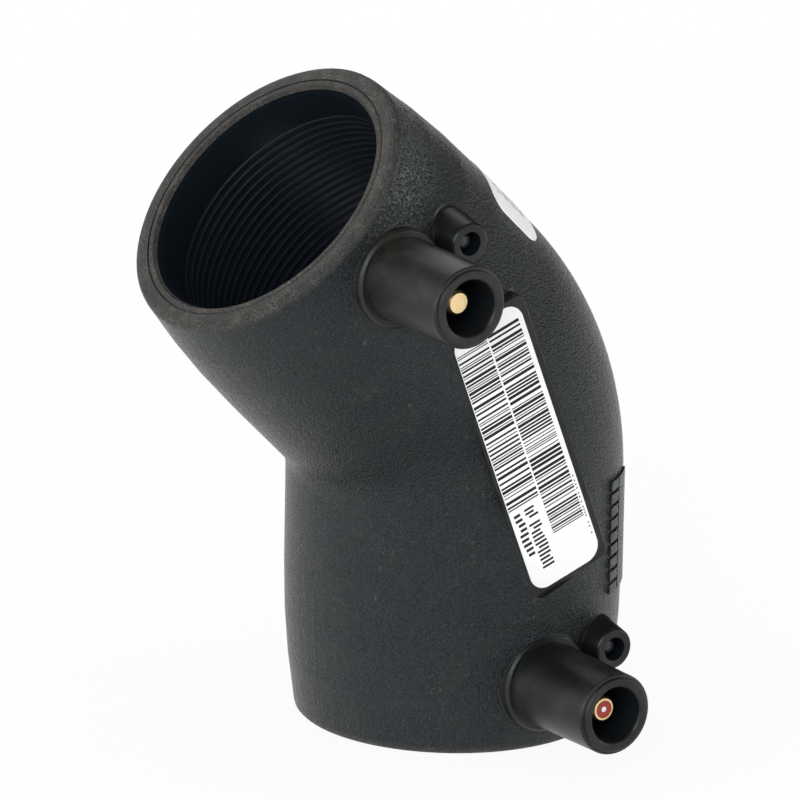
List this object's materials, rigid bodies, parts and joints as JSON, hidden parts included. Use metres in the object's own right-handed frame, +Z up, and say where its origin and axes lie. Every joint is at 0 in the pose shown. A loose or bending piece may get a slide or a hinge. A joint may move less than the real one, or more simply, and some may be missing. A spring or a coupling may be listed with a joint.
{
  "type": "electrofusion elbow",
  "caption": "Black moulded pipe elbow that bends by 45 degrees, with a heated socket at each end and two shrouded electrical terminals.",
  "frame": {"origin": "centre of the lower mouth, in the plane of the rim that the fitting stands on", "axes": "+Z up the axis of the lower socket; the bend lies in the XZ plane and the upper mouth faces -X and +Z; the terminals, indicators and label face -Y"},
  "size_m": [0.0815, 0.0716, 0.1076],
  "materials": {
    "body_plastic": "fine spark-eroded grain",
    "sleeve_plastic": "smooth satin",
    "indicator_plastic": "smooth satin",
    "winding_metal": "drawn copper-nickel wire",
    "terminal_brass": "turned",
    "contact_metal": "plated",
    "insulator_plastic": "satin",
    "resistor_coating": "lacquer",
    "label_paper": "coated white with printed bars"
  },
  "bodies": {
    "elbow": {"elbow_body": "body_plastic", "lower_coil_sleeve": "sleeve_plastic", "upper_coil_sleeve": "sleeve_plastic", "heating_wire": "winding_metal", "upper_terminal_pin": "terminal_brass", "lower_terminal_pin": "terminal_brass", "terminal_insulator": "insulator_plastic", "terminal_middle_contact": "contact_metal", "identification_resistor": "resistor_coating", "barcode_label": "label_paper", "traceability_sticker": "label_paper"},
    "upper_indicator": {"upper_fusion_indicator": "indicator_plastic"},
    "lower_indicator": {"lower_fusion_indicator": "indicator_plastic"}
  },
  "joints": [
    {"name": "upper_indicator_rise", "type": "slide", "parent": "elbow", "child": "upper_indicator", "axis": [0, -1, 0], "range_m": [0, 0.003]},
    {"name": "lower_indicator_rise", "type": "slide", "parent": "elbow", "child": "lower_indicator", "axis": [0, -1, 0], "range_m": [0, 0.003]}
  ]
}
